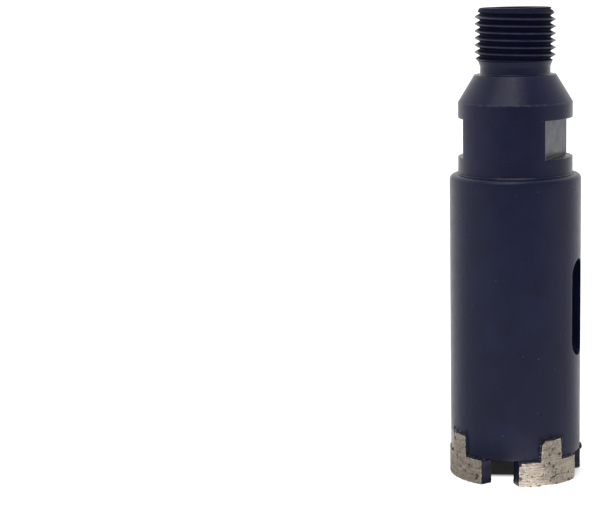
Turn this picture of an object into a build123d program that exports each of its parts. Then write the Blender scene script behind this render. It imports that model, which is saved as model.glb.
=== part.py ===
"""Diamond core bit, 1-3/8 in, with a left-hand half-inch pipe thread on its shank.

Frame: millimetres, +Z along the bit's axis from the cutting face up to the shank.
The origin is the centre of the cutting face, so the bit stands on its crown.
The two spanner flats face +X and -X, and the bare marking place faces -Y.

A place round the axis is an angle in degrees from -Y towards +X.
"""
from build123d import *
import math
import os

# ---- driving dimensions -------------------------------------------------------
overall_height = 123.4

# shank: half-inch pipe thread, drawn as its full major diameter
thread_major_diameter = 20.955
thread_start_z = 109.8
thread_lead_in_diameter = 18.4
thread_lead_in_angle = 30.0        # from the axis
relief_diameter = 18.2
relief_top_z = 108.3
runout_diameter = 19.4

# hub: turned from the bar that plugs into the barrel
bar_diameter = 29.8
shoulder_diameter = 21.2
shoulder_z = 106.24
cone_base_z = 99.15
flat_top_z = 95.1
flat_bottom_z = 85.0
across_flats = 22.0
plug_length = 8.0
plug_chamfer = 0.8
water_bore_diameter = 10.0
water_bore_chamfer = 0.6
turned_edge_break = 0.2

# barrel: drawn steel tube
barrel_diameter = 34.3
barrel_top_z = 80.4
barrel_top_round = 1.4
slot_length = 25.7
slot_width = 8.4
slot_centre_z = 45.65

# crown: four T-shaped diamond segments brazed into notches in the barrel's end
crown_diameter = 34.925
segment_thickness = 3.0
segment_half_arc = 30.5            # at the outer face
segment_end_draft = 9.0            # ends run almost square to the segment's chord
segment_rim_break = 0.3
seat_z = 6.6
gullet_z = 7.1
tab_top_z = 12.2
tab_root_width = 6.6
tab_top_width = 6.1
tab_corner_cut = 1.15              # on the corner that trails

# where each hand-laid segment sits, and how far its tab is off its middle (degrees)
segment_places = {
    "segment_1": (-43.5, 2.0),
    "segment_2": (50.5, 0.0),
    "segment_3": (143.5, 0.0),
    "segment_4": (228.0, 0.0),
}

# ---- worked out from them -------------------------------------------------------
bar_radius = bar_diameter / 2
barrel_radius = barrel_diameter / 2
crown_radius = crown_diameter / 2
crown_bore_radius = crown_radius - segment_thickness
thread_radius = thread_major_diameter / 2
lead_in_radius = thread_lead_in_diameter / 2
lead_in_height = (thread_radius - lead_in_radius) / math.tan(math.radians(thread_lead_in_angle))
plug_end_z = barrel_top_z - plug_length
CUT = 2.0                          # how far a cutting tool runs past the face it opens


def at_angle(shape, angle):
    """Turn a shape drawn towards +X about the axis, to a place given from -Y towards +X."""
    return Rot(0, 0, angle - 90) * shape


def turned(points):
    """A solid of revolution from (radius, height) points."""
    return revolve(make_face(Polyline(*[(r, 0, z) for r, z in points], close=True)), Axis.Z)


def ring(inner, outer, low, high):
    """A plain ring about the axis, between two heights."""
    return turned([(inner, low), (outer, low), (outer, high), (inner, high)])


# ---- shank and hub ---------------------------------------------------------------
def make_shank_hub():
    """Threaded shank, relief, cone, spanner flats and plug, turned from one bar."""
    e = turned_edge_break
    bore = water_bore_diameter / 2
    b = water_bore_chamfer
    hub = turned([
        (bore + b, plug_end_z),
        (bar_radius - plug_chamfer, plug_end_z),
        (bar_radius, plug_end_z + plug_chamfer),
        (bar_radius, cone_base_z),
        (shoulder_diameter / 2, shoulder_z - e),
        (shoulder_diameter / 2 - e, shoulder_z),
        (relief_diameter / 2, shoulder_z),
        (relief_diameter / 2, relief_top_z),
        (runout_diameter / 2, thread_start_z),
        (thread_radius, thread_start_z + thread_radius - runout_diameter / 2),
        (thread_radius, overall_height - lead_in_height),
        (lead_in_radius, overall_height),
        (bore + b, overall_height),
        (bore, overall_height - b),
        (bore, plug_end_z + b),
    ])
    flat_height = flat_top_z - flat_bottom_z
    depth = bar_radius
    for side in (1, -1):
        cutter = Box(depth, bar_diameter + CUT, flat_height)
        middle = side * (across_flats / 2 + depth / 2)
        hub -= Pos(middle, 0, flat_bottom_z + flat_height / 2) * cutter
    return hub


# ---- crown -------------------------------------------------------------------------
def segment_plan(outer_x):
    """The wedge between a segment's drafted ends, drawn towards +X, out to a given reach."""
    half_arc = math.radians(segment_half_arc)
    slope = math.tan(math.radians(segment_end_draft))
    corner_x = crown_radius * math.cos(half_arc)
    corner_y = crown_radius * math.sin(half_arc)
    inner_x = crown_bore_radius / 2
    outer_y = corner_y + (outer_x - corner_x) * slope
    inner_y = corner_y - (corner_x - inner_x) * slope
    return make_face(Polyline((outer_x, outer_y), (inner_x, inner_y),
                              (inner_x, -inner_y), (outer_x, -outer_y), close=True))


def segment_body():
    """The cutting arc of a segment: a ring sector between the drafted ends."""
    block = extrude(segment_plan(crown_radius + CUT), seat_z)
    return block & ring(crown_bore_radius, crown_radius, 0, seat_z)


def tab_block(low):
    """The tab's front view, drawn towards +X: a tapered post with one top corner cut."""
    root = tab_root_width / 2
    top = tab_top_width / 2
    cut = tab_corner_cut
    front = make_face(Polyline((0, -root, low), (0, root, low), (0, root, seat_z),
                               (0, top, tab_top_z), (0, cut - top, tab_top_z),
                               (0, -top, tab_top_z - cut), (0, -root, seat_z), close=True))
    return extrude(front, crown_radius + CUT, dir=(1, 0, 0))


def make_segment(place, tab_shift):
    """A T-shaped segment: its arc block cuts, its tab stands in the barrel's notch."""
    body = at_angle(segment_body(), place)
    tab_root = seat_z - CUT
    tab = at_angle(tab_block(tab_root), place + tab_shift)
    tab &= ring(crown_bore_radius, crown_radius, tab_root, tab_top_z)
    segment = body + tab
    rim = segment.edges().filter_by(GeomType.CIRCLE).group_by(Axis.Z)[0]
    return chamfer(rim, segment_rim_break)


# ---- barrel --------------------------------------------------------------------------
def slot_cutter():
    """A round-ended upright slot through both walls, along X."""
    plan = Plane.YZ * Rot(0, 0, 90) * SlotOverall(slot_length, slot_width)
    return Pos(0, 0, slot_centre_z) * extrude(plan, barrel_radius + CUT, both=True)


def segment_seat():
    """What stays of the barrel's end above one segment: its plan, carried past both walls."""
    plan = segment_plan(crown_radius + 2 * CUT)
    return Pos(0, 0, seat_z - 2 * CUT) * extrude(plan, 4 * CUT)


def make_barrel_tube():
    """Tube with a rounded top, two slots, four T notches and four gullets between seats."""
    tube = ring(bar_radius, barrel_radius, seat_z, barrel_top_z)
    top_edge = tube.edges().filter_by(GeomType.CIRCLE).group_by(Axis.Z)[-1].sort_by(SortBy.RADIUS)[-1]
    tube = fillet(top_edge, barrel_top_round)
    tube -= slot_cutter()
    gullets = ring(bar_radius - CUT, barrel_radius + CUT, seat_z - CUT, gullet_z)
    for place, tab_shift in segment_places.values():
        gullets -= at_angle(segment_seat(), place)
        tube -= at_angle(tab_block(seat_z - CUT), place + tab_shift)
    return tube - gullets


# ---- write the nodes -------------------------------------------------------------------
def write(name, shape):
    """One STEP file a node; the file's name is the node's name."""
    export_step(shape, f"parts/{name}.step")


os.makedirs("parts", exist_ok=True)
write("shank_hub", make_shank_hub())
write("barrel_tube", make_barrel_tube())
for name, (place, tab_shift) in segment_places.items():
    write(name, make_segment(place, tab_shift))
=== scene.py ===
"""Looks of a diamond core bit: painted hub and barrel, ground diamond segments, floor, light and camera.

Lengths are in millimetres in the sums and in metres in the meshes. +Z runs from the cutting face to
the shank. A place round the axis is an angle in degrees from -Y towards +X, and a row of points
round the bit runs that way, so that faces made from rising rows point outwards.
"""
import bpy
import math
import numpy as np
from mathutils import Matrix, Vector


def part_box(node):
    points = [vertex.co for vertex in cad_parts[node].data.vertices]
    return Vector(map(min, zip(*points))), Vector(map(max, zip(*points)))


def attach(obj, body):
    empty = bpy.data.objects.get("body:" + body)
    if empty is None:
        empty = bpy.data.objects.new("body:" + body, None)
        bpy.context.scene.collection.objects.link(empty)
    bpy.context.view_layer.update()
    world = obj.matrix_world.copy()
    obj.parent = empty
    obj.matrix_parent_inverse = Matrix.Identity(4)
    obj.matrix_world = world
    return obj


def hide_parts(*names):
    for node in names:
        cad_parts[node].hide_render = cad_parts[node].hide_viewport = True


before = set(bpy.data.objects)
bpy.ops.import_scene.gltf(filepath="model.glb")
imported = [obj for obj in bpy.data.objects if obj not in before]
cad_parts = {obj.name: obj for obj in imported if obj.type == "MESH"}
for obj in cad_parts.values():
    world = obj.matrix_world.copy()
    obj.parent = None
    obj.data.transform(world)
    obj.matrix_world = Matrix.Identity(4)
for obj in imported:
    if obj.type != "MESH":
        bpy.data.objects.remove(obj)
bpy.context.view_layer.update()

MM = 0.001


def node_box(name):
    """Lowest and highest corner of a CAD node, in millimetres."""
    low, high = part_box(name)
    return np.array(low) / MM, np.array(high) / MM


hub_low, hub_high = node_box("shank_hub")
tube_low, tube_high = node_box("barrel_tube")

# ---- sizes: hub ----
hub_top = hub_high[2]
plug_end = hub_low[2]
bar_radius = hub_high[1]
plug_chamfer = 0.8
bore_radius = 5.0
bore_chamfer = 0.6
cone_base = 99.15
shoulder_radius = 10.6
shoulder_z = 106.24
relief_radius = 9.1
relief_top = 108.3
flat_bottom, flat_top = 85.0, 95.1
half_across_flats = 11.0
flat_edge_round = 0.18
flat_root_round = 0.16
flat_corner_blend = 0.06
flat_shade = 0.33                # painted shade: how much the whole flats are darkened and dulled
hub_row_step, bore_row_step = 1.6, 4.0
flat_rows, flat_row_margin = 9, 0.6
hub_angle_step = 1.25

# ---- sizes: left-hand half-inch pipe thread ----
thread_pitch = 25.4 / 14
thread_crest_radius = 10.4775
thread_flank_angle = 27.5
thread_crest_round = 0.15
thread_root_round = 0.20
thread_low = 109.8
thread_lead_in_radius = 9.2
thread_lead_in_angle = 30.0
runout_radius = 9.7
thread_crest_height = 117.09       # height of one crest where the bit faces the viewer
thread_crest_place = 17.0          # the place that this height is given for
thread_rows_per_pitch = 20
thread_blend = 0.05

# ---- sizes: barrel and crown ----
barrel_radius = tube_high[0]
barrel_bore = bar_radius
barrel_top = tube_high[2]
barrel_top_round = 1.4
barrel_mouth_chamfer = 0.15
paint_edge_round = 0.22            # of the paint over the barrel's cut edges
sharp_angle = 38.0                 # the least turn between two faces that makes such an edge
mouth_bead = 0.42                  # how far the bead of braze there stands out of the corner
bead_highlight_place = (17.0, 24.0)     # where it has a painted highlight of steel colour: a place, and the reach each way
bead_highlight_strength = 0.09
scraped_place = (-61.0, 11.0, 7.0, 12.0)     # a place, the reach each way, lowest and highest height
seat_z = tube_low[2]
gullet_z = 7.1
slot_half_width = 4.2
slot_low, slot_high = 32.8, 58.5
slot_places = (90.0, 270.0)
crown_radius = 34.925 / 2
crown_bore = crown_radius - 3.0
segment_half_arc = 30.5
segment_end_draft = 9.0
half_width = crown_radius * math.radians(segment_half_arc)     # of a segment, along its outer face
tab_top = node_box("segment_2")[1][2]
tab_root_half, tab_top_half = 3.3, 3.05
tab_corner = 1.15                  # on the tab's side of smaller angles

# each segment's place, and how far its tab is off its middle, in degrees
segment_places = {
    "segment_1": (-43.5, 2.0),
    "segment_2": (50.5, 0.0),
    "segment_3": (143.5, 0.0),
    "segment_4": (228.0, 0.0),
}

# ---- camera ----
camera_place = 17.0
camera_distance = 480.0
camera_height = 139.0
camera_pitch = 9.81
camera_turn_left = 6.71
camera_focal_pixels = 1829.0
image_width = 600
sensor_width = 36.0

# ---- studio ----
world_front_shade = 0.14           # how bright reflections see the surroundings, in front and behind
world_back_shade = 0.95
world_edge = (0.72, -0.72)         # an edge's start and end, as cosines of the turn from a middle
floor_half_width = 30000.0
floor_albedo = 0.93
floor_core_albedo = 0.36           # under the bit, a painted shadow
floor_core_front = (5.0, 8.0)      # how far in front of the axis the dark floor under it ends
floor_glow = 0.12                  # how far the floor is lifted for the viewer, and how much more
floor_foot_glow = 0.2              # at the crown's foot and inside the crown: painted light that lifts the shade there
floor_core_glow = 0.75
foot_reach = (40.0, 17.0)          # how far from the axis the first starts, and where it is full
floor_side_shade = 0.53            # how bright reflections see the floor at the sides, behind and in front
floor_back_shade = 0.9
floor_front_shade = 0.04
floor_back_edge = (-0.2, -0.8)
floor_front_edge = (0.5, 0.97)
floor_front_reach = (230.0, 420.0) # how far off the front starts to darken, and where it is full
dark_turn = 6.0                    # the dark front's turn from the camera's side
close_reach = (46.0, 38.0)         # how far from the axis the patches close to the crown reach
near_shine = 2.6                   # one faces the viewer
near_turn = 12.0
near_edge = (0.90, 0.975)
beside_turn = 78.0                 # and two lie beside it: a bright one on the right, a dim one on the left
beside_edge = (0.35, 0.9)
beside_shine = 0.52
beside_dim = 0.45


# ---- whole-array helpers ----
def ramp(x, low, high):
    """Smooth step: 0 below low, 1 above high, and 3t^2 - 2t^3 between."""
    t = np.clip((x - low) / (high - low), 0, 1)
    return t * t * (3 - 2 * t)


def ripple(seed, wave, *coords, count=14):
    """Smooth noise round 0: the sum of plane waves in random directions, each about `wave` long."""
    rng = np.random.default_rng(seed)
    total = 0
    for _ in range(count):
        heading = rng.normal(size=len(coords))
        heading /= np.linalg.norm(heading)
        turns = 2 * math.pi / (wave * rng.uniform(0.6, 1.7))
        along = sum(h * c for h, c in zip(heading, coords))
        total = total + np.sin(turns * along + rng.uniform(0, 2 * math.pi))
    return total / math.sqrt(count)


def soft_min(a, b, blend):
    """The lesser of a and b, with the corner between them rounded over `blend`."""
    h = np.clip(0.5 + 0.5 * (b - a) / blend, 0, 1)
    return b * (1 - h) + a * h - blend * h * (1 - h)


def on_bit(radius, angle, height):
    """Points, in metres, at radii, places in degrees and heights: x = r sin a, y = -r cos a."""
    a = np.radians(angle)
    x, y, z = np.broadcast_arrays(radius * np.sin(a), -radius * np.cos(a), height)
    return np.stack([x, y, z], axis=-1) * MM


def turn_from(middle, angle):
    """How far an angle is turned from a place, between -180 and 180 degrees."""
    return (angle - middle + 180) % 360 - 180


def places_of(points):
    """The place round the bit of each point, then its x, y and z in millimetres."""
    x, y, z = np.moveaxis(points / MM, -1, 0)
    return np.degrees(np.arctan2(x, -y)), x, y, z


def arc_fall(radius, away):
    """How far a circle's edge has fallen at a distance from its top: r - sqrt(r^2 - x^2)."""
    return radius - np.sqrt(np.maximum(radius ** 2 - away ** 2, 0))


def direction(angle):
    """The level unit vector at a place round the bit."""
    return (math.sin(math.radians(angle)), -math.cos(math.radians(angle)), 0)


def rounded_outline(corners, steps=5):
    """A closed outline through corners (radius, height, fillet), each rounded by an arc.

    The arc touches both sides fillet / tan(half the corner) away, and its centre lies on the bisector.
    """
    corners = np.array(corners, float)
    points = []
    for before, here, after in zip(np.roll(corners, 1, 0), corners, np.roll(corners, -1, 0)):
        corner, fillet = here[:2], here[2]
        u, w = [side / np.linalg.norm(side) for side in (before[:2] - corner, after[:2] - corner)]
        half = math.acos(np.clip(u @ w, -1, 1)) / 2
        centre = corner + (u + w) / np.linalg.norm(u + w) * fillet / math.sin(half)
        start, end = [corner + side * fillet / math.tan(half) - centre for side in (u, w)]
        turn = math.pi - 2 * half
        for t in np.linspace(0, 1, steps):
            arc = (np.sin((1 - t) * turn) * start + np.sin(t * turn) * end) / math.sin(turn)
            points.append(centre + arc)
    return np.array(points)


def divided(points, step):
    """The same open outline with its long stretches cut into equal parts of at most `step`."""
    pieces = []
    for a, b in zip(points[:-1], points[1:]):
        count = max(1, math.ceil(np.linalg.norm(b - a) / step))
        pieces.append(a + (b - a) * np.arange(count)[:, None] / count)
    return np.vstack(pieces + [points[-1:]])


def clustered(low, high, count):
    """count steps from low to high, small at both ends: the cosine of evenly spaced angles."""
    return low + (high - low) * (1 - np.cos(np.linspace(0, math.pi, count + 1))) / 2


# ---- meshes ----
def add_object(name, data):
    """A new object at the origin."""
    made = bpy.data.objects.new(name, data)
    bpy.context.scene.collection.objects.link(made)
    return made


def add_piece(name, points, quads, material, attributes=None):
    """A smooth mesh object at the origin from an array of points and an array of quads."""
    used, quads = np.unique(quads, return_inverse=True)
    quads = quads.reshape(-1, 4)
    points = points.reshape(-1, 3)[used]
    mesh = bpy.data.meshes.new(name)
    mesh.vertices.add(len(points))
    mesh.vertices.foreach_set("co", points.astype(np.float32).ravel())
    mesh.loops.add(quads.size)
    mesh.loops.foreach_set("vertex_index", quads.astype(np.int32).ravel())
    mesh.polygons.add(len(quads))
    mesh.polygons.foreach_set("loop_start", np.arange(0, quads.size, 4, dtype=np.int32))
    mesh.update(calc_edges=True)
    mesh.polygons.foreach_set("use_smooth", np.ones(len(quads), bool))
    for key, values in (attributes or {}).items():
        layer = mesh.attributes.new(key, "FLOAT", "POINT")
        layer.data.foreach_set("value", values.ravel()[used].astype(np.float32))
    mesh.validate()
    mesh.materials.append(material)
    piece = add_object(name, mesh)
    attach(piece, "root")
    return piece


def numbered(shape):
    """The point numbers of a grid of that shape, with its first column repeated at the end."""
    index = np.arange(np.prod(shape)).reshape(shape)
    return np.concatenate([index, index[..., :1]], axis=-1)


def grid_quads(index, inwards=False):
    """The quads of a grid of point numbers, facing away from the bit's axis or towards it."""
    quads = np.stack([index[:-1, :-1], index[:-1, 1:], index[1:, 1:], index[1:, :-1]], axis=-1).reshape(-1, 4)
    return quads[:, [0, 3, 2, 1]] if inwards else quads


def ring_quads(rows, columns):
    """Every cell of a grid that is closed round the bit and also closes from its last row to its first."""
    index = numbered((rows, columns))
    return grid_quads(np.concatenate([index, index[:1]]))


def plate_quads(shape, keep):
    """The skin of a curved plate of several layers, outer layer first, whose kept cells are in `keep`.

    The first and last layers get their kept cells. Wherever a kept cell borders a cell that isn't
    kept, or the plate's lowest or highest row, each pair of layers is joined by a wall.
    """
    index = numbered(shape)
    quads = [grid_quads(index[0])[keep.ravel()], grid_quads(index[-1], inwards=True)[keep.ravel()]]
    before = np.roll(keep, 1, axis=1)
    none = np.zeros_like(keep[:1])
    below, above = np.vstack([none, keep]), np.vstack([keep, none])
    for o, i in zip(index[:-1], index[1:]):
        upright = (o[:-1, :-1], i[:-1, :-1], i[1:, :-1], o[1:, :-1])
        lying = (o[:, :-1], o[:, 1:], i[:, 1:], i[:, :-1])
        for wall, here, there in ((upright, before, keep), (lying, below, above)):
            quads.append(np.stack([corner[here & ~there] for corner in wall], axis=-1))
            quads.append(np.stack([corner[there & ~here] for corner in wall[::-1]], axis=-1))
    return np.vstack(quads)


# ---- shader sums ----
def sign(operation, backwards=False):
    """What a sign between an output and another output or number does: it adds a Math node."""
    def add_node(self, other):
        """The node's output, with the two in the order that they are written in."""
        values = (other, self) if backwards else (self, other)
        return place(self.tree, "Math", *values, operation=operation)
    return add_node


class Output:
    """What a node puts out. Sums of outputs and numbers are written as usual."""

    __add__ = sign("ADD")
    __sub__ = sign("SUBTRACT")
    __mul__ = sign("MULTIPLY")
    __truediv__ = sign("DIVIDE")
    __rsub__ = sign("SUBTRACT", backwards=True)
    __rtruediv__ = sign("DIVIDE", backwards=True)

    def __init__(self, tree, socket):
        self.tree, self.socket = tree, socket

    def __getitem__(self, name):
        """Another output of the same node."""
        return Output(self.tree, self.socket.node.outputs[name])

    def math(self, operation, other=0.0):
        """A Math node of another kind."""
        return sign(operation)(self, other)

    def spread(self, low, high, to_low=0.0, to_high=1.0):
        """Puts low at to_low and high at to_high, even between them and level beyond."""
        return place(self.tree, "MapRange", self, low, high, to_low, to_high)


def feed(socket, value):
    """Gives a socket its value: a number, a vector, a colour or an output."""
    if isinstance(value, Output):
        value.tree.links.new(value.socket, socket)
    else:
        socket.default_value = value


def place(tree, kind, *values, **named):
    """Adds a shader node and gives its first output.

    values go to its sockets in order. A name in small letters is a setting of the node, and settings
    come first; any other name is a socket's.
    """
    node = tree.nodes.new("ShaderNode" + kind)
    for name, value in named.items():
        if name.islower():
            setattr(node, name, value)
        else:
            feed(node.inputs[name], value)
    for socket, value in zip(node.inputs, values):
        feed(socket, value)
    return Output(tree, node.outputs[0])


def blended(share, first, second):
    """A colour: first where share is 0, and second where it is 1."""
    colour = place(share.tree, "Mix", share, data_type="RGBA")[2]
    for socket, value in zip(colour.socket.node.inputs[6:8], (first, second)):
        feed(socket, value if isinstance(value, Output) else (*value, 1))
    return colour


def carried(tree, *names):
    """The values of these names that a mesh carries at its points."""
    return [place(tree, "Attribute", attribute_name=name)["Fac"] for name in names]


def level(position):
    """A position with its height taken out."""
    return place(position.tree, "VectorMath", position, (1, 1, 0), operation="MULTIPLY")


def length(vector):
    """The length of a vector."""
    return place(vector.tree, "VectorMath", vector, operation="LENGTH")["Value"]


def towards(vector, angle):
    """How far a vector reaches towards a place round the axis."""
    return place(vector.tree, "VectorMath", vector, direction(angle), operation="DOT_PRODUCT")["Value"]


def facing(position, angle):
    """The cosine of a point's turn from a place: 1 straight towards the place, -1 straight away."""
    return towards(place(position.tree, "VectorMath", level(position), operation="NORMALIZE"), angle)


# ---- shared effects ----
def new_group(name, **inputs):
    """An empty shader group: the group, its inputs, and the socket of its one result."""
    group = bpy.data.node_groups.new(name, "ShaderNodeTree")
    group.interface.new_socket(name="Position", in_out="INPUT", socket_type="NodeSocketVector")
    for key, default in inputs.items():
        socket = group.interface.new_socket(name=key, in_out="INPUT", socket_type="NodeSocketFloat")
        socket.default_value = default
    group.interface.new_socket(name="Value", in_out="OUTPUT", socket_type="NodeSocketFloat")
    given = Output(group, group.nodes.new("NodeGroupInput").outputs[0])
    return group, given, group.nodes.new("NodeGroupOutput").inputs[0]


def make_grain():
    """Noise of a given size in millimetres, squashed along Z, and put between Low and High."""
    group, given, result = new_group("grain", Size=1.0, Squash=1.0, Detail=3.0, Low=0.0, High=1.0)
    scale = 1 / MM / given["Size"]
    squash = place(group, "CombineXYZ", scale, scale, scale * given["Squash"])
    scaled = place(group, "VectorMath", given["Position"], squash, operation="MULTIPLY")
    noise = place(group, "TexNoise", Vector=scaled, Scale=1.0, Detail=given["Detail"], Roughness=0.55)
    feed(result, noise.spread(0.3, 0.7, given["Low"], given["High"]))
    return group


def make_specks():
    """Sparse round spots: 1 inside a spot and 0 outside, on cells of a given size in millimetres."""
    group, given, result = new_group("specks", Cell=1.0, Radius=0.2, Share=0.5)
    cells = place(group, "TexVoronoi", Vector=given["Position"], Scale=1 / MM / given["Cell"])
    chance = place(group, "SeparateColor", cells["Color"])
    reach = given["Radius"] * (chance["Green"] + 0.5)
    inside = cells["Distance"].spread(reach, reach * 0.6)
    feed(result, inside * chance["Red"].math("LESS_THAN", given["Share"]))
    return group


grain_group = make_grain()
specks_group = make_specks()


def grain(position, **values):
    """Places the grain group, with values of its own."""
    return place(position.tree, "Group", node_tree=grain_group, Position=position, **values)


def specks(position, **values):
    """Places the specks group, with values of its own."""
    return place(position.tree, "Group", node_tree=specks_group, Position=position, **values)


# ---- materials ----
# darkened paint: painted shade on the hub's flats, and a darker band round the segments
darkened_navy = (0.0012, 0.0018, 0.007)
# painted shade in the thread's grooves and the bore
groove_shade_navy = (0.0018, 0.0026, 0.012)
# lighter paint on the thread's crests
crest_navy = (0.075, 0.078, 0.095)
dust_grey = (0.10, 0.11, 0.15)
steel_dark, steel_light = (0.20, 0.175, 0.145), (0.36, 0.32, 0.265)
matrix_dark, matrix_light = (0.125, 0.104, 0.082), (0.60, 0.545, 0.455)
matrix_tint = (0.34, 0.235, 0.19)
matrix_paint = (0.0045, 0.0060, 0.021)
# painted highlight along the segments' edges
edge_highlight_metal = (0.80, 0.74, 0.63)
pit_brown = (0.035, 0.03, 0.024)
grit_pale = (0.66, 0.63, 0.53)
paint_coat = 0.37


def empty_material(name):
    """A material with only a shader: the material, the shader's sockets and Object coordinates."""
    material = bpy.data.materials.new(name)
    material.use_nodes = True
    tree = material.node_tree
    return material, tree.nodes["Principled BSDF"].inputs, place(tree, "TexCoord")["Object"]


def make_navy_paint(name, deep, lift, turning, crest_lightening=0.0, highlight_rings=()):
    """Dark navy paint: cloudy colour, orange peel, dust specks, and lathe marks that show through.

    deep and lift are its darkest and lightest colour, and turning is how strongly the lathe's rings show.
    The crest value makes the paint lighter on the thread's crests, and with it the thread's grooves and
    the bore get painted shade: darker, rougher and duller paint. The rings are the radius, height and
    colour of sharp turned edges, each lighter along the edge as a painted highlight. A darkening
    attribute of the mesh makes the paint darker and duller where it is 1: painted shade on the hub's
    flats, and a darker band round the segments and at the barrel's foot. Its "scraped" attribute is 1
    where the paint is ground off, in streaks round the bit, and a highlight attribute shows steel on the
    mouth bead as a painted highlight.
    """
    material, shader, position = empty_material(name)
    tree = position.tree
    darkened, scraped, bead_highlight = carried(tree, "darkened", "scraped", "bead_highlight")
    clouds = grain(position, Size=9.0, Detail=4.0)
    fine = grain(position, Size=0.9, Detail=2.0)
    dust = specks(position, Cell=1.7, Radius=0.09, Share=0.14)
    out = length(level(position)) / MM
    up = place(tree, "SeparateXYZ", position)["Z"] / MM

    colour = blended(fine * 0.25 + clouds * 0.75, deep, lift)
    colour = blended(dust * 0.35, colour, dust_grey)
    # painted shade on the flats; darker paint round the segments and at the barrel's foot
    colour = blended(darkened * 0.8, colour, darkened_navy)
    rough = grain(position, Size=3.5, Low=0.27, High=0.40) + dust * 0.2
    patchiness = grain(position, Size=1.6, Low=-0.1, High=0.6)
    # painted highlights: lighter paint along sharp turned edges
    for radius, height, shade in highlight_rings:
        beside, above = out - radius, up - height
        on_edge = (beside * beside + above * above).math("SQRT").spread(0.36, 0.16)
        colour = blended(on_edge * patchiness, colour, shade)
    dull = darkened
    # lighter paint on the thread's crests
    if crest_lightening > 0:
        on_shank = up.math("GREATER_THAN", thread_low)
        reach = out - thread_crest_radius + grain(position, Size=2.2, Low=-0.10, High=0.10)
        colour = blended(reach.spread(-0.16, 0.02) * on_shank * crest_lightening, colour, crest_navy)
        # painted shade: darker, rougher and duller paint in the thread's grooves and the bore
        in_bore = out.math("LESS_THAN", bore_radius + bore_chamfer)
        groove_shade = reach.spread(-0.25, -0.7).math("MAXIMUM", in_bore) * on_shank
        colour = blended(groove_shade * 0.45, colour, groove_shade_navy)
        rough = rough + groove_shade * 0.3
        dull = darkened.math("MAXIMUM", groove_shade)
    streaks = grain(position, Size=1.6, Squash=4.0, Detail=4.0, Low=-0.4, High=0.4)
    # steel where the paint is scraped off, and on the mouth bead as a painted highlight
    bare = (scraped + streaks).spread(0.42, 0.62).math("MAXIMUM", bead_highlight)
    peel = grain(position, Size=1.1, Detail=1.0)
    rings = grain(position, Size=30.0, Squash=150.0, Detail=2.0)
    relief = rings * turning + peel + dust * 0.8
    feed(shader["Base Color"], blended(bare, colour, blended(fine, steel_dark, steel_light)))
    feed(shader["Roughness"], rough)
    feed(shader["Normal"], place(tree, "Bump", Strength=0.5, Distance=0.035 * MM, Height=relief))
    feed(shader["Coat Weight"], dull * -paint_coat + paint_coat)
    feed(shader["Coat Roughness"], 0.33)
    feed(shader["Specular IOR Level"], 0.14)
    return material


def make_diamond_matrix():
    """Ground sintered metal with grit, pits and round-the-bit scratches, painted navy where not ground.

    The mesh's "bare" attribute is 1 on ground faces; noise breaks up the edge of the paint. Its
    "pitted" attribute is 1 in the deep pits, and a third attribute is 1 in a band along the edges,
    where the metal is made lighter as a painted highlight.
    """
    material, shader, position = empty_material("diamond_matrix")
    tree = position.tree
    bare, pitted, edge_highlight = carried(tree, "bare", "pitted", "edge_highlight")
    ground = (bare + grain(position, Size=0.7, Low=-0.30, High=0.30)).spread(0.42, 0.58)
    cloud = grain(position, Size=2.4, Detail=5.0)
    streak = grain(position, Size=3.5, Squash=9.0, Detail=4.0)
    mottle = grain(position, Size=0.8, Detail=4.0)
    fine = grain(position, Size=0.3, Detail=2.0)
    pits = specks(position, Cell=1.0, Radius=0.2, Share=0.3).math("MAXIMUM", pitted)
    grit = specks(position, Cell=0.62, Radius=0.24, Share=0.35)
    tone = (streak * 0.3 + cloud * 0.3 + mottle * 0.4 + fine * 0.35).spread(0.25, 1.1)
    metal = blended(tone, matrix_dark, matrix_light)
    metal = blended(grain(position, Size=1.5) * 0.35, metal, matrix_tint)
    # painted highlight: lighter metal along the edges
    metal = blended(edge_highlight * 0.7, metal, edge_highlight_metal)
    metal = blended(pits * 0.8, metal, pit_brown)
    metal = blended(grit * 0.35, metal, grit_pale)
    height = (streak * 1.4 + fine * 0.6 - pits * 1.6 + grit * 0.5) * (ground * 0.85 + 0.15)
    feed(shader["Base Color"], blended(ground, matrix_paint, metal))
    feed(shader["Metallic"], ground * 0.75)
    feed(shader["Roughness"], ground * (mottle * 0.2 - 0.14) + 0.5)
    feed(shader["Normal"], place(tree, "Bump", Strength=0.8, Distance=0.05 * MM, Height=height))
    feed(shader["Tangent"], place(tree, "VectorMath", (0, 0, 1), position, operation="CROSS_PRODUCT"))
    feed(shader["Anisotropic"], 0.5)
    feed(shader["Anisotropic Rotation"], 0.25)
    feed(shader["Specular IOR Level"], 0.3)
    return material


hub_paint = make_navy_paint("hub_paint", (0.0042, 0.0055, 0.0240), (0.0072, 0.0088, 0.038), turning=0.8,
                            crest_lightening=0.3,
                            highlight_rings=[(bar_radius, cone_base, (0.055, 0.060, 0.085)),
                                          (shoulder_radius, shoulder_z, (0.03, 0.033, 0.05))])
barrel_paint = make_navy_paint("barrel_paint", (0.0042, 0.0060, 0.0245), (0.0070, 0.0098, 0.0385),
                               turning=0.15)
seam_paint = make_navy_paint("seam_paint", (0.0016, 0.0022, 0.007), (0.0048, 0.0068, 0.024), turning=0.1)
diamond_matrix = make_diamond_matrix()


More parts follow.
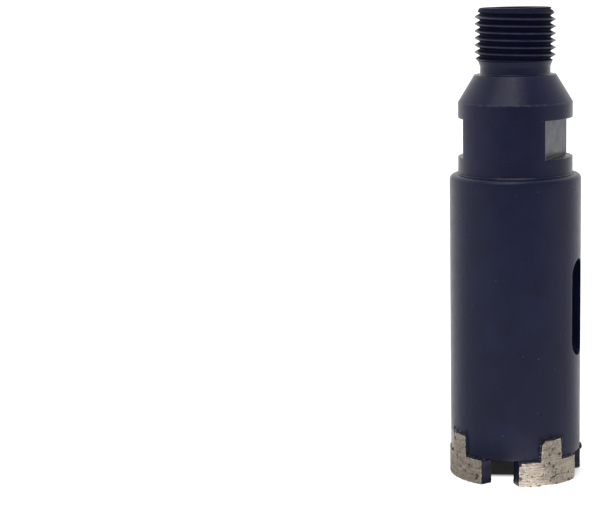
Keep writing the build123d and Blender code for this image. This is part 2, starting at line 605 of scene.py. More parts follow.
# ---- hub ----
def thread_radius_at(angle, height):
    """Radius of the left-hand thread, its crest falling by one pitch in a turn towards larger angles.

    x is the distance from the nearest crest along the axis. The crest and the root are arcs that the
    straight flanks touch at the flank angle.
    """
    turns = (angle - thread_crest_place) / 360
    phase = (height - thread_crest_height) / thread_pitch + turns
    x = np.abs(phase - np.round(phase)) * thread_pitch
    flank = math.radians(thread_flank_angle)
    crest_end = thread_crest_round * math.cos(flank)
    crest_fall = thread_crest_round * (1 - math.sin(flank))
    root_start = thread_pitch / 2 - thread_root_round * math.cos(flank)
    root_rise = thread_root_round * (1 - math.sin(flank))
    flank_fall = (root_start - crest_end) / math.tan(flank)
    depth = crest_fall + flank_fall + root_rise
    on_crest = arc_fall(thread_crest_round, x)
    on_flank = crest_fall + (x - crest_end) / math.tan(flank)
    in_root = depth - arc_fall(thread_root_round, thread_pitch / 2 - x)
    fall = np.where(x < crest_end, on_crest, np.where(x < root_start, on_flank, in_root))
    return thread_crest_radius - fall


def flat_ledge(height, upwards):
    """Rows across one end of the spanner flats, as (height, most bite, bite held back).

    The first rows round the ledge's edge by a quarter circle, and the last ones fill its root.
    """
    turn = np.linspace(0, math.pi / 2, 4)
    edge = np.column_stack([height - upwards * flat_edge_round * (1 - np.sin(turn)),
                            flat_edge_round * (1 - np.cos(turn)), np.full(4, np.inf)])
    root = np.column_stack([height + upwards * flat_root_round * (1 - np.cos(turn)),
                            np.full(4, flat_edge_round), flat_root_round * (1 - np.sin(turn))])
    return np.vstack([edge, root])[::upwards]


def hub_rows():
    """Rows of the hub from the plug's mouth up the outside, over the top and down the bore.

    Columns: radius, height, most bite of the flats, bite held back, and 1 where the thread is cut.
    """
    lead_in = (thread_crest_radius - thread_lead_in_radius) / math.tan(math.radians(thread_lead_in_angle))
    mouth = bore_radius + bore_chamfer
    outline = rounded_outline([
        (mouth, plug_end, 0.1), (bar_radius - plug_chamfer, plug_end, 0.1),
        (bar_radius, plug_end + plug_chamfer, 0.1), (bar_radius, cone_base, 0.35),
        (shoulder_radius, shoulder_z, 0.25), (relief_radius, shoulder_z, 0.5),
        (relief_radius, relief_top, 0.6), (runout_radius, thread_low, 0.5),
        (thread_crest_radius, thread_low + thread_crest_radius - runout_radius, 0.2),
        (thread_crest_radius, hub_top - lead_in, 0.2), (thread_lead_in_radius, hub_top, 0.25),
        (mouth, hub_top, 0.15), (bore_radius, hub_top - bore_chamfer, 0.15),
        (bore_radius, plug_end + bore_chamfer, 0.15)])
    outline = np.vstack([outline, outline[:1]])
    on_thread = (outline[:, 0] > mouth) & (outline[:, 1] > (relief_top + thread_low) / 2)
    first, last = np.flatnonzero(on_thread)[[0, -1]]
    below, shank, above = [divided(part, step)[:-1] for part, step in (
        (outline[:first + 1], hub_row_step), (outline[first:last + 1], thread_pitch / thread_rows_per_pitch),
        (outline[last:], bore_row_step))]
    near_flats = (below[:, 0] > bar_radius - 0.01) & (below[:, 1] > flat_bottom - flat_row_margin) \
        & (below[:, 1] < flat_top + flat_row_margin)
    start, stop = np.flatnonzero(near_flats)[[0, -1]]
    between = np.linspace(flat_bottom + 2 * flat_root_round, flat_top - 2 * flat_root_round, flat_rows)
    flats = np.vstack([flat_ledge(flat_bottom, 1), [(height, np.inf, 0) for height in between],
                       flat_ledge(flat_top, -1)])

    def plain(rows, thread):
        """Rows of the outline that the flats don't cut."""
        return np.column_stack([rows, np.tile((0, np.inf, thread), (len(rows), 1))])

    return np.vstack([plain(below[:start], 0), np.insert(flats, (0, 3), (bar_radius, 0), axis=1),
                      plain(below[stop + 1:], 0), plain(shank, 1), plain(above, 0)])


def hub_angles():
    """Places round the hub: even steps, with close ones at the four edges of the flats."""
    even = np.arange(0, 360, hub_angle_step)
    corner = math.degrees(math.asin(half_across_flats / bar_radius))
    close = np.array([-0.5, -0.25, -0.1, 0, 0.1, 0.25, 0.5])
    edges = np.array([corner, 180 - corner, 180 + corner, 360 - corner])
    return np.unique(np.round(np.concatenate([even, (edges[:, None] + close).ravel()]), 3))


def shade_on_flats(points, angle, height, cut):
    """Painted shade on the flats, as darker and duller paint: 1 in their corners and on part of the lower
    ledge, and a lesser share over the rest of the flats.
    """
    ragged = 0.2 * ripple(9, 1.3, *places_of(points)[1:])
    from_ledge = np.minimum(np.abs(height - flat_bottom), np.abs(height - flat_top))
    reach = np.where(height < (flat_bottom + flat_top) / 2, 0.45, 0.0)
    in_corner = 1 - ramp(from_ledge + ragged - reach, 0.1, 0.6)
    on_flat = ramp(cut, 0.15, 0.4) * np.maximum(in_corner, flat_shade)
    on_lower_ledge = ramp(cut, 0.02, 0.16) * (height < flat_bottom + 0.1)
    return np.maximum(on_flat, on_lower_ledge * (1 - ramp(angle % 180 + 15 * ragged, 88, 100)))


def make_hub():
    """The hub: its rows carried round the axis.

    Between the ledges the radius is cut back to the flats, half_across_flats / |sin a|, and on the
    shank it is the lesser of the outline and the thread.
    """
    radius, height, most, held_back, threaded = [c[:, None] for c in hub_rows().T]
    angle = hub_angles()[None, :]
    over = bar_radius - half_across_flats / np.maximum(np.abs(np.sin(np.radians(angle))), 0.01)
    w = flat_corner_blend
    bite = np.where(over < -w, 0, np.where(over > w, over, (over + w) ** 2 / (4 * w)))
    cut = np.maximum(np.minimum(bite, most), np.maximum(bite - held_back, 0))
    thread = soft_min(radius, thread_radius_at(angle, height), thread_blend)
    points = on_bit(np.where(threaded > 0, thread, radius - cut), angle, height)
    # painted shade on the flats and their lower ledge
    darkened = (threaded == 0) * shade_on_flats(points, angle, height, cut)
    hub = add_piece("hub", points, ring_quads(*points.shape[:2]), hub_paint, {"darkened": darkened})
    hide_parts("shank_hub")
    return hub


# ---- shapes shared by the barrel and the segments ----
def end_angle(radius):
    """Half the arc of a segment at a radius: where its drafted end plane meets that circle."""
    half_arc = math.radians(segment_half_arc)
    slope = math.tan(math.radians(segment_end_draft))
    offset = crown_radius * (math.sin(half_arc) - slope * math.cos(half_arc))
    x = (-slope * offset + np.sqrt(radius ** 2 * (1 + slope ** 2) - offset ** 2)) / (1 + slope ** 2)
    return np.degrees(np.arctan2(slope * x + offset, x))


def across_angle(distance, radius):
    """The angle at which a plane at that distance from the middle meets a circle of that radius."""
    return np.degrees(np.arcsin(np.clip(distance / radius, -0.99, 0.99)))


def pulled_corner(a, b, size, reach, power):
    """Pulls a square's corner in: points beyond both sides move so that the square's edge becomes round.

    c is the larger of a and b. A point keeps its direction and takes the distance c by another norm:
    power 1 gives a straight cut, power 2 a quarter circle. The pull fades from size out to reach.
    """
    a_in, b_in = np.maximum(a, 0), np.maximum(b, 0)
    c = np.maximum(a_in, b_in)
    norm = np.maximum((a_in ** power + b_in ** power) ** (1 / power), 1e-9)
    share = 1 - ramp(c, size, reach)
    scale = 1 - share + share * np.where(c > 0, c / norm, 1)
    inside = (a > 0) & (b > 0)
    return np.where(inside, a * scale, a), np.where(inside, b * scale, b)


def tab_shape(across, height):
    """Draws straight grid lines to the tab's outline: its sides lean in and one top corner is cut."""
    side, away = np.sign(across), np.abs(across)
    lean = (tab_root_half - tab_top_half) * np.clip((height - seat_z) / (tab_top - tab_corner - seat_z), 0, 1)
    lean = lean * (1 - ramp(away, tab_root_half, 3 * tab_root_half))
    away = away - lean * np.minimum(away / tab_root_half, 1)
    inner_across = tab_top_half - tab_corner
    inner_height = tab_top - tab_corner
    a, b = pulled_corner(away - inner_across, height - inner_height, tab_corner, 3.5 * tab_corner, 1)
    cut_side = across < 0
    return side * np.where(cut_side, inner_across + a, away), np.where(cut_side, inner_height + b, height)


def outline_of_segment(shift):
    """A segment's front view as corners (distance round the crown, height), from its lower left corner."""
    middle = crown_radius * math.radians(shift)
    return np.array([
        (-half_width, 0), (half_width, 0), (half_width, seat_z), (middle + tab_root_half, seat_z),
        (middle + tab_top_half, tab_top), (middle - tab_top_half + tab_corner, tab_top),
        (middle - tab_top_half, tab_top - tab_corner), (middle - tab_root_half, seat_z),
        (-half_width, seat_z)])


def distance_to_outline(points, outline):
    """Distance from each point to the nearest side of a closed outline, all in one plane."""
    start, end = outline, np.roll(outline, -1, axis=0)
    along = end - start
    away = points[..., None, :] - start
    t = np.clip((away * along).sum(-1) / (along ** 2).sum(-1), 0, 1)
    return np.linalg.norm(away - t[..., None] * along, axis=-1).min(axis=-1)


# ---- barrel ----
gap_columns, shoulder_columns, tab_columns, slot_columns = 12, 10, 22, 22
notch_rows = 13
tab_pull_angle, tab_pull_height = 40.0, 5.0         # how far from a tab the grid is drawn to it,
slot_pull_angle, slot_pull_height = 50.0, 12.0      # and from a slot, in degrees and in millimetres


def crown_columns(radius):
    """Places of the barrel's columns at its lower end, with a column on each edge of tab and seat."""
    end, tab = end_angle(radius), across_angle(tab_root_half, radius)
    marks, counts = [], []
    for middle, shift in segment_places.values():
        marks += [middle - end, middle + shift - tab, middle + shift + tab, middle + end]
        counts += [shoulder_columns, tab_columns, shoulder_columns, gap_columns]
    marks.append(marks[0] + 360)
    return np.concatenate([np.linspace(a, b, n, endpoint=False)
                           for a, b, n in zip(marks[:-1], marks[1:], counts)])


def slot_zone_columns(radius):
    """Places of the same columns at the height of the slots, with columns on the slots' edges."""
    half = across_angle(slot_half_width, radius)
    low = crown_columns(radius)
    marks, at = [low[0]], [0]
    for middle in slot_places:
        start = int(np.argmin(np.abs(low - (middle - half))))
        marks += [middle - half, middle + half]
        at += [start, start + slot_columns]
    columns = np.interp(np.arange(len(low)), at + [len(low)], marks + [low[0] + 360])
    return columns, at[1], at[3]


def barrel_heights():
    """Heights of the barrel's rows, and the first and last row of the slots."""
    notch = np.linspace(gullet_z, tab_top, notch_rows)
    ends = np.linspace(0, slot_half_width, 12)
    low_end, high_end = slot_low + ends, slot_high - ends[::-1]
    straight = np.linspace(low_end[-1], high_end[0], 12)[1:-1]
    top_arc = barrel_top - barrel_top_round * (1 - np.sin(np.linspace(0, math.pi / 2, 8)))
    lower = np.array([12.7, 13.3, 14.2, 15.5, 17.5, 20, 22.5, 25, 27, 28.8, 30.2, 31.3, 32.1])
    upper = np.array([59.0, 59.8, 60.9, 62.3, 64.5, 67.5, 71, 74.5, 77.5])
    rows = np.concatenate([[seat_z], notch, lower, low_end, straight, high_end, upper, top_arc])
    return rows, [int(np.argmin(np.abs(rows - end))) for end in (slot_low, slot_high)]


def barrel_layer(radius, radius_by_row, heights):
    """One wall of the barrel: columns follow the crown below and the slots above.

    Near a slot's ends the grid is pulled in to a half circle, and round the tabs to their outline.
    """
    crown, (slotted, *_) = crown_columns(radius), slot_zone_columns(radius)
    z = heights[:, None] + np.zeros(len(crown))
    angle = crown + (slotted - crown) * ramp(heights, tab_top + 1, slot_low - 4)[:, None]
    for middle, shift in segment_places.values():
        away = turn_from(middle + shift, angle)
        near = (np.abs(away) < tab_pull_angle) & (z < tab_top + tab_pull_height)
        across, up = tab_shape(radius * np.sin(np.radians(np.where(near, away, 0))), z)
        angle = np.where(near, angle - away + across_angle(across, radius), angle)
        z = np.where(near & (z > seat_z + 0.6), up, z)
    for middle in slot_places:
        away = turn_from(middle, angle)
        near = (np.abs(away) < slot_pull_angle) & (z > slot_low - slot_pull_height) \
            & (z < slot_high + slot_pull_height)
        across = radius * np.sin(np.radians(np.where(near, away, 0)))
        for end, way in ((slot_low + slot_half_width, -1), (slot_high - slot_half_width, 1)):
            a, b = pulled_corner(np.abs(across), (z - end) * way, slot_half_width, 2.8 * slot_half_width, 2)
            across, z = np.sign(across) * a, np.where(near, end + way * b, z)
        angle = np.where(near, angle - away + across_angle(across, radius), angle)
    return on_bit(radius_by_row[:, None], angle, z)


def darkened_round_segments(layers):
    """Darker, duller paint: 1 close round the segments, 0 from about 2 mm away, and some at the barrel's
    foot.
    """
    angle, x, y, z = places_of(layers)
    nearest = np.full(z.shape, np.inf)
    for middle, shift in segment_places.values():
        across = barrel_radius * np.radians(turn_from(middle, angle))
        close = (np.abs(across) < 15) & (z < tab_top + 5)
        away = distance_to_outline(np.stack([across, z], axis=-1)[close], outline_of_segment(shift))
        nearest[close] = np.minimum(nearest[close], away)
    ragged = 0.5 * ripple(7, 2.5, x, y, z)
    at_foot = 0.35 * (1 - ramp(z + ragged, gullet_z + 1, gullet_z + 6))
    return np.maximum(1 - ramp(nearest + ragged, 0.2, 1.9), at_foot)


def scraped_patch(points):
    """1 where the paint is ground off beside the first segment's tab, falling to 0 past its edge.

    The patch is a rounded square, where the cubes of the two distances from its middle add up to 1.
    """
    angle, x, y, z = places_of(points)
    middle, reach, low, high = scraped_place
    across = turn_from(middle, angle) / reach
    above = (2 * z - low - high) / (high - low)
    out = np.cbrt(np.abs(across) ** 3 + np.abs(above) ** 3) + 0.10 * ripple(8, 2.2, x, y, z)
    return (1 - ramp(out, 0.75, 1.15)) * (np.hypot(x, y) > barrel_radius - 0.5)


def make_barrel():
    """The tube: an outer and an inner wall on one grid, with the cells of slots and notches left out."""
    heights, (slot_first, slot_last) = barrel_heights()
    above_round = np.clip(heights - (barrel_top - barrel_top_round), 0, barrel_top_round)
    outer_radius = barrel_radius - arc_fall(barrel_top_round, above_round)
    mouth = np.clip(heights - (barrel_top - barrel_mouth_chamfer), 0, None)
    layers = np.stack([barrel_layer(barrel_radius, outer_radius, heights),
                       barrel_layer(barrel_bore, barrel_bore + mouth, heights)])
    keep = np.ones((len(heights) - 1, layers.shape[2]), bool)
    per_segment = 2 * shoulder_columns + tab_columns + gap_columns
    turn = np.arange(layers.shape[2]) % per_segment
    keep[0, turn >= per_segment - gap_columns] = False
    keep[:notch_rows, (turn >= shoulder_columns) & (turn < shoulder_columns + tab_columns)] = False
    for start in slot_zone_columns(barrel_radius)[1:]:
        keep[slot_first:slot_last, start:start + slot_columns] = False
    # darker, duller paint round the segments and at the barrel's foot
    barrel = add_piece("barrel", layers, plate_quads(layers.shape[:3], keep), barrel_paint,
                       {"darkened": darkened_round_segments(layers), "scraped": scraped_patch(layers)})
    bevel = barrel.modifiers.new("paint_softened_edges", "BEVEL")
    bevel.width = paint_edge_round * MM
    bevel.segments = 3
    bevel.limit_method = "ANGLE"
    bevel.angle_limit = math.radians(sharp_angle)
    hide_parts("barrel_tube")
    return barrel


def make_mouth_bead():
    """The painted bead between the barrel's mouth and the hub: a round ring, half sunk in both."""
    angle = np.arange(0, 360, 1.5)[None, :]
    turn = np.linspace(0, 2 * math.pi, 16, endpoint=False)[:, None]
    thick = mouth_bead * (1 + 0.10 * ripple(11, 4.0, *places_of(on_bit(bar_radius, angle, 0))[1:]))
    points = on_bit(bar_radius + 0.05 + thick * np.cos(turn), angle, barrel_top + thick * np.sin(turn))
    middle, reach = bead_highlight_place
    # painted highlight: steel colour on the bead's side that faces the camera's place
    highlight_share = bead_highlight_strength * (1 - ramp(np.abs(turn_from(middle, angle)) + 0 * turn, 0.5 * reach, reach))
    bead = add_piece("mouth_bead", points, ring_quads(*points.shape[:2]), barrel_paint, {"bead_highlight": highlight_share})
    return bead


# ---- segments ----
edge_wear_round = 0.24
deepest_pit = 0.13
groove_height, swell_height, chip_height = 0.016, 0.022, 0.16
highest_wave = 0.03
stray_across, stray_up = 0.05, 0.08   # how far the outline strays from its straight lines

# how much of the outer face's two upper corners is under filler and paint: left, right
covered_corners = {
    "segment_1": (0.8, 0.3),
    "segment_2": (1.5, 0.3),
    "segment_3": (0.5, 0.6),
    "segment_4": (0.9, 0.4),
}

# how far each segment's corners are worn off: upper left, upper right, lower left, lower right
worn_corners = {
    "segment_1": (0.4, 0.25, 0.5, 0.3),
    "segment_2": (0.5, 0.25, 0.4, 1.1),
    "segment_3": (0.3, 0.4, 0.6, 0.4),
    "segment_4": (0.5, 0.3, 0.4, 0.7),
}
shoulder_cells, tab_cells, body_rows, tab_rows, skin_layers = 36, 36, 36, 30, 6
loose_pits = 26

# distinct pits of the two front segments: millimetres across from the middle, height and size
noted_pits = {
    "segment_1": [(1.6, 3.4, 0.28), (5.1, 4.6, 0.25), (-0.3, 6.1, 0.3), (0.0, 5.6, 0.2), (0.9, 7.2, 0.28),
                  (-0.5, 1.0, 0.25), (8.0, 2.3, 0.3), (7.7, 1.6, 0.34), (7.3, 1.2, 0.26), (6.3, 2.4, 0.22),
                  (-1.6, 10.6, 0.4), (-1.2, 10.3, 0.3), (3.4, 3.0, 0.2), (2.7, 1.4, 0.2)],
    "segment_2": [(2.2, 8.2, 0.32), (-0.8, 6.2, 0.32), (-0.6, 5.9, 0.25), (0.4, 5.2, 0.36), (-2.3, 5.6, 0.28),
                  (-0.7, 8.5, 0.24), (-5.8, 2.9, 0.26), (-8.8, 2.4, 0.32), (-6.2, 0.15, 0.3),
                  (-3.8, 0.25, 0.35), (1.5, 0.2, 0.3), (5.9, 2.6, 0.3), (5.8, 2.2, 0.22), (5.9, 0.5, 0.4),
                  (6.4, 0.4, 0.3), (7.6, 0.4, 0.35), (6.9, 3.2, 0.22), (-4.6, 0.9, 0.22),
                  (-0.55, 1.35, 0.24), (-0.35, 1.75, 0.2), (-0.1, 2.1, 0.22), (0.35, 2.25, 0.26),
                  (0.8, 2.4, 0.26), (1.25, 2.6, 0.2), (1.65, 2.75, 0.2), (1.1, 3.0, 0.2), (0.6, 3.3, 0.2),
                  (0.1, 3.6, 0.2)],
}


def segment_face(shift, radius, corners):
    """A segment's grid at one radius: angles from its middle and heights, over a T that fills the outline.

    The grid is drawn in at the four corners of the cutting arc by what each has lost.
    """
    rows = np.concatenate([clustered(0, seat_z, body_rows)[:-1], clustered(seat_z, tab_top, tab_rows)])
    share = np.concatenate([clustered(0, 1, shoulder_cells)[:-1], 1 + clustered(0, 1, tab_cells)[:-1],
                            2 + clustered(0, 1, shoulder_cells)])
    end, tab = end_angle(radius), across_angle(tab_root_half, radius)
    local = np.interp(share, [0, 1, 2, 3], [-end, shift - tab, shift + tab, end])
    angle = local[None, :] + np.zeros((len(rows), 1))
    height = rows[:, None] + np.zeros(len(local))
    across, up = tab_shape(radius * np.sin(np.radians(angle - shift)), height)
    on_tab = height > seat_z
    angle = np.where(on_tab, shift + across_angle(across, radius), angle)
    height = np.where(on_tab, up, height)
    for size, side, up in zip(corners, (-1, 1, -1, 1), (1, 1, -1, -1)):
        beside = side * np.radians(angle) * radius - (math.radians(end) * radius - size)
        above = size + (height - seat_z if up > 0 else -height)
        a, b = pulled_corner(beside, above, size, 4 * size, 1.3)
        here = (beside > 0) & (above > 0) & (height <= seat_z)
        angle = np.where(here, angle + side * np.degrees((a - beside) / radius), angle)
        height = np.where(here, height + up * (b - above), height)
    return angle, height


def pit_dents(name, seed, across, height):
    """How deep the outer face's pits are: bell-shaped dents at random and at noted places."""
    count = loose_pits if name in noted_pits else 2 * loose_pits
    rng = np.random.default_rng(seed)
    loose = np.column_stack([rng.uniform([-half_width, 0.4], [half_width, tab_top], size=(count, 2)),
                             rng.uniform(0.08, 0.30, size=count)])
    pits = np.vstack([loose, np.reshape(noted_pits.get(name, []), (-1, 3))])
    sizes = pits[:, 2]
    gap = (across[..., None] - pits[:, 0]) ** 2 + (height[..., None] - pits[:, 1]) ** 2
    return np.minimum((0.5 * sizes * np.exp(-gap / sizes ** 2)).sum(axis=-1), deepest_pit)


def ground_bare(name, seed, across, height, edge):
    """1 where the outer face is ground, 0 at its very edge and where filler covers its upper corners."""
    ground = ramp(edge + 0.3 * (1 - ramp(height, 0, 0.4)), 0.04, 0.16)
    for side, size in zip((-1, 1), covered_corners[name]):
        inwards = half_width - side * across + np.maximum(seat_z - height, 0)
        torn = 0.35 * size * ripple(seed + 8, 0.9, across, height)
        ground = ground * ramp(inwards + torn, size - 0.1, size + 0.1)
    return ground


def make_segment(name, number):
    """A T-shaped segment: layers from its outer face to its inner face on one T-shaped grid.

    Worn edges: within edge_wear_round of the outline the faces fall back by a quarter circle. The
    outer face has shallow grinding waves and pits, and its lower edge is chipped.
    """
    middle, shift = segment_places[name]
    seed = 100 * (number + 1)
    face_angle, face_height = segment_face(shift, crown_radius, worn_corners[name])
    across = crown_radius * np.radians(face_angle)
    edge = distance_to_outline(np.stack([across, face_height], axis=-1), outline_of_segment(shift))

    def wavy(step, wave):
        """Smooth noise over the outer face."""
        return ripple(seed + step, wave, across, face_height)

    wear = edge_wear_round * (1 + 0.4 * wavy(4, 2.5))
    fall = arc_fall(wear, np.maximum(wear - edge, 0))
    dents = pit_dents(name, seed, across, face_height)
    grooves = groove_height * ripple(seed + 5, 0.7, face_height, across * 0.05)
    swells = swell_height * wavy(6, 3.0)
    chips = chip_height * np.maximum(ripple(seed + 3, 1.4, across) - 0.8, 0)
    layers = []
    for t in np.linspace(0, 1, skin_layers):
        radius = crown_radius + (crown_bore - crown_radius) * t
        angle, height = segment_face(shift, radius, worn_corners[name])
        chipped = chips * (1 - ramp(height, 0, 1.0)) * (1 - t)
        height = height + stray_up * wavy(2, 2.0) * ramp(height, 0.3, 2.0) + chipped
        angle = angle + np.degrees(stray_across * wavy(1, 2.0) / radius)
        if t == 0:
            radius = radius - fall - dents + np.minimum(grooves + swells, highest_wave) - highest_wave
        elif t == 1:
            radius = radius + fall
        layers.append(on_bit(radius, middle + angle, np.maximum(height, 0)))
    layers = np.stack(layers)
    bare, pitted, edge_highlight = np.zeros((3, *layers.shape[:3]))
    bare[:-1] = 1 - ramp(face_height, 0.1, 0.3)
    bare[0] = np.maximum(bare[0], ground_bare(name, seed, across, face_height, edge))
    pitted[0] = ramp(dents, 0.025, 0.07)
    # painted highlight: lighter metal in a band along the outline's edges
    edge_highlight[0] = (1 - ramp(edge, 0.12, 0.4)) * ramp(wavy(7, 1.3), -0.3, 0.5)
    keep = np.ones((layers.shape[1] - 1, layers.shape[2]), bool)
    keep[body_rows:, :shoulder_cells] = False
    keep[body_rows:, shoulder_cells + tab_cells:] = False
    keep[:, -1] = False
    piece = add_piece(name + "_ground", layers, plate_quads(layers.shape[:3], keep), diamond_matrix,
                      {"bare": bare, "pitted": pitted, "edge_highlight": edge_highlight})
    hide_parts(name)
    return piece


# ---- brazed seams ----
seam_step = 0.12
seam_thickness, thinnest_seam, thickest_seam = 0.27, 0.12, 0.50
ring_points = 10

# drops of filler: place round the bit, height, half width, half height and reach from the axis
filler_drops = {
    "segment_1": [(-51.5, 13.1, 0.28, 0.6, 17.35), (-46.5, 12.7, 0.6, 0.35, 17.3),
                  (-39, 12.75, 0.9, 0.45, 17.4), (-30.2, 10.9, 0.4, 0.8, 17.4), (-30, 8.3, 0.3, 0.5, 17.35)],
    "segment_2": [(39.5, 12.2, 0.45, 0.35, 17.55), (45, 13.2, 0.9, 0.3, 17.27), (38.8, 8.0, 0.2, 0.5, 17.4)],
    "segment_3": [(106.5, 6.75, 0.9, 1.0, 17.75), (111, 7.2, 0.9, 0.4, 17.45)],
    "segment_4": [(219, 12.7, 0.6, 0.4, 17.4), (200, 7.0, 0.5, 0.5, 17.45)],
}


def capped_tube(points):
    """The quads of a closed tube: rings of ring_points points, and four quads across each end ring."""
    index = numbered(points.shape[:2])
    quads = grid_quads(index, inwards=True)
    ends = (index[0, :-1], index[-1, -2::-1])
    caps = [[row[k], row[k + 1], row[-k - 2], row[-k - 1]]
            for row in ends for k in range(ring_points // 2 - 1)]
    return np.vstack([quads, caps])


def seam_bead(name, seed):
    """Rings along the line where a segment's shoulders and tab meet the barrel.

    A flattened tube of changing thickness follows the T outline, a little outside it, half sunk in
    the barrel's face.
    """
    middle, shift = segment_places[name]
    path = divided(outline_of_segment(shift)[2:], seam_step)
    for _ in range(3):
        path[1:-1] = (path[:-2] + 2 * path[1:-1] + path[2:]) / 4
    along = np.gradient(path, axis=0)
    along /= np.linalg.norm(along, axis=1, keepdims=True)
    outward = np.column_stack([along[:, 1], -along[:, 0]])
    run = np.arange(len(path)) * seam_step
    end_taper = ramp(np.minimum(run, run[-1] - run), 0, 0.7)
    thick = seam_thickness + 0.10 * ripple(seed + 1, 2.3, run) + 0.05 * ripple(seed + 2, 0.6, run)
    thick = np.clip(thick, thinnest_seam, thickest_seam) * (0.15 + 0.85 * end_taper)
    offset = 0.02 + 0.05 * ripple(seed + 3, 1.0, run)
    turn = np.linspace(0, 2 * math.pi, ring_points, endpoint=False)
    centre = path + outward * (offset + 0.4 * thick)[:, None]
    swing = centre[:, None, :] + outward[:, None, :] * (1.5 * thick[:, None] * np.cos(turn))[..., None]
    radius = barrel_radius + 0.02 + 0.65 * thick[:, None] * np.sin(turn)
    return on_bit(radius, middle + np.degrees(swing[..., 0] / barrel_radius), swing[..., 1])


def filler_drop(middle, height, wide, tall, reach, seed):
    """Rings of one drop: an uneven egg on the barrel's face, sqrt(1 - t^2) thick at t along it."""
    t = np.linspace(-0.97, 0.97, 9)[::-1, None]
    turn = np.linspace(0, 2 * math.pi, ring_points, endpoint=False)[None, :]
    swell = np.sqrt(1 - t ** 2) * (1 + 0.18 * ripple(seed, 1.3, t + 0 * turn, np.cos(turn) + 0 * t))
    radius = barrel_radius - 0.1 + (reach - barrel_radius + 0.1) * swell * np.sin(turn)
    angle = middle + np.degrees(wide * t / barrel_radius) + 0 * turn
    return on_bit(radius, angle, height + tall * swell * np.cos(turn))


def make_seam(name, number):
    """The painted filler of one segment: its bead and its drops, as one piece."""
    seed = 100 * (number + 1) + 50
    parts = [seam_bead(name, seed)]
    parts += [filler_drop(*drop, seed + 10 + k) for k, drop in enumerate(filler_drops[name])]
    starts = np.cumsum([0] + [part.shape[0] * ring_points for part in parts])
    quads = np.vstack([capped_tube(part) + start for part, start in zip(parts, starts)])
    points = np.vstack([part.reshape(-1, 3) for part in parts])
    seam = add_piece(name + "_seam", points, quads, seam_paint, {"scraped": scraped_patch(points)})
    return seam


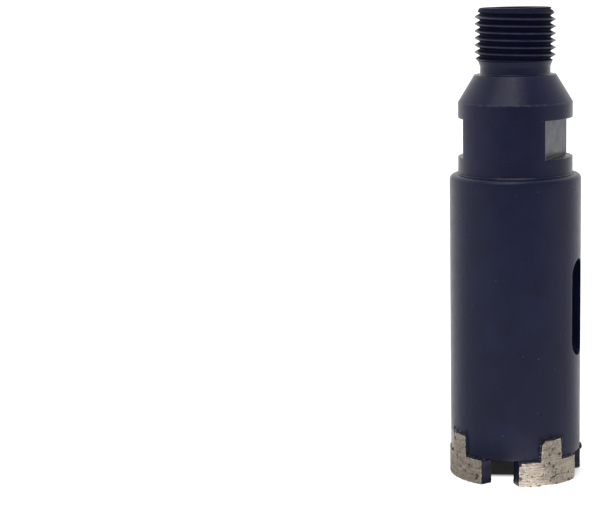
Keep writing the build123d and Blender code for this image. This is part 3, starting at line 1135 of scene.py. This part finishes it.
# ---- floor, light and camera ----
def make_floor():
    """A plain pale floor: a large flat square, level with the cutting face.

    For reflections it is darker in front and at the sides, and has three patches close to the crown:
    two glow there as painted reflections, and one dims what is reflected. Under the bit its colour is
    darkened as a painted shadow, but towards the front it glows for the viewer, and more glow at the
    crown's foot is painted light that lifts the shade there.
    """
    material, shader, position = empty_material("pale_floor")
    away = length(position) / MM
    to_front = facing(position, camera_place + dark_turn)
    front = to_front.spread(*floor_front_edge) * away.spread(*floor_front_reach)
    back = to_front.spread(*floor_back_edge)
    close = away.spread(*close_reach)
    near = close * facing(position, camera_place + near_turn).spread(*near_edge)
    right, left = [close * facing(position, camera_place + turn).spread(*beside_edge)
                   for turn in (beside_turn, -beside_turn)]
    in_front = towards(position, camera_place) / MM
    under = away.spread(crown_radius, crown_bore)
    # painted shadow: the floor's colour under the bit is darkened, but not towards its front
    lit = in_front.spread(*floor_core_front).math("MAXIMUM", 1 - under)
    rays = place(position.tree, "LightPath")
    reflected = front * (floor_front_shade - floor_side_shade) + floor_side_shade
    reflected = (back * (floor_back_shade - floor_side_shade) + reflected) * (1 - left * beside_dim)
    dark = (rays["Is Glossy Ray"] * (1 - reflected)).math("MAXIMUM", (1 - lit) * (1 - floor_core_albedo))
    # painted light for the viewer, stronger at the crown's foot and in front under the crown
    glow = away.spread(*foot_reach) * floor_foot_glow + floor_glow + under * floor_core_glow
    # painted reflections: patches that glow only in reflections
    shine = right * beside_shine + near * near_shine
    feed(shader["Base Color"], blended(dark, [floor_albedo] * 3, (0, 0, 0)))
    feed(shader["Emission Color"], (1, 1, 1, 1))
    feed(shader["Emission Strength"], lit * glow * rays["Is Camera Ray"] + shine * rays["Is Glossy Ray"])
    feed(shader["Roughness"], 0.9)
    feed(shader["Specular IOR Level"], 0.1)
    mesh = bpy.data.meshes.new("floor")
    corners = np.array([(-1, -1, 0), (1, -1, 0), (1, 1, 0), (-1, 1, 0)]) * floor_half_width * MM
    mesh.from_pydata(corners.tolist(), [], [(0, 1, 2, 3)])
    mesh.materials.append(material)
    add_object("floor", mesh)


def make_world():
    """Even white surroundings, but dim in reflections, most of all in front."""
    world = bpy.data.worlds.new("studio")
    bpy.context.scene.world = world
    world.use_nodes = True
    tree = world.node_tree
    background = tree.nodes["Background"].inputs
    behind = facing(place(tree, "TexCoord")["Object"], camera_place + dark_turn).spread(*world_edge)
    reflected = behind * (world_back_shade - world_front_shade) + world_front_shade
    feed(background["Color"], (1, 1, 1, 1))
    feed(background["Strength"], place(tree, "LightPath")["Is Glossy Ray"] * (reflected - 1) + 1)


def make_lamp(name, turn, elevation, wide, strength):
    """A far, round, soft lamp: its turn from the camera's side, its height and its width, in degrees."""
    light = bpy.data.lights.new(name, "SUN")
    light.angle = math.radians(wide)
    light.energy = strength
    lamp = add_object(name, light)
    lamp.rotation_euler = (math.radians(90 - elevation), 0, math.radians(camera_place + turn))


def make_camera():
    """A level camera in front of the bit, tipped down and then turned left about its own upright."""
    camera = bpy.data.cameras.new("camera")
    camera.sensor_width = sensor_width
    camera.sensor_fit = "HORIZONTAL"
    camera.lens = camera_focal_pixels / image_width * sensor_width
    camera.clip_start = 0.01
    camera.clip_end = 100
    eye = add_object("camera", camera)
    eye.matrix_world = (Matrix.Rotation(math.radians(camera_place), 4, "Z")
                        @ Matrix.Translation((0, -camera_distance * MM, camera_height * MM))
                        @ Matrix.Rotation(math.radians(90 - camera_pitch), 4, "X")
                        @ Matrix.Rotation(math.radians(camera_turn_left), 4, "Y"))
    bpy.context.scene.camera = eye


make_camera()
make_world()
make_floor()
make_lamp("key_left", -30, 53, 44, 0.6)
make_lamp("key_top", 4, 70, 30, 0.35)
bpy.context.scene.view_settings.view_transform = "Standard"

make_hub()
make_barrel()
make_mouth_bead()
for number, name in enumerate(segment_places):
    make_segment(name, number)
    make_seam(name, number)
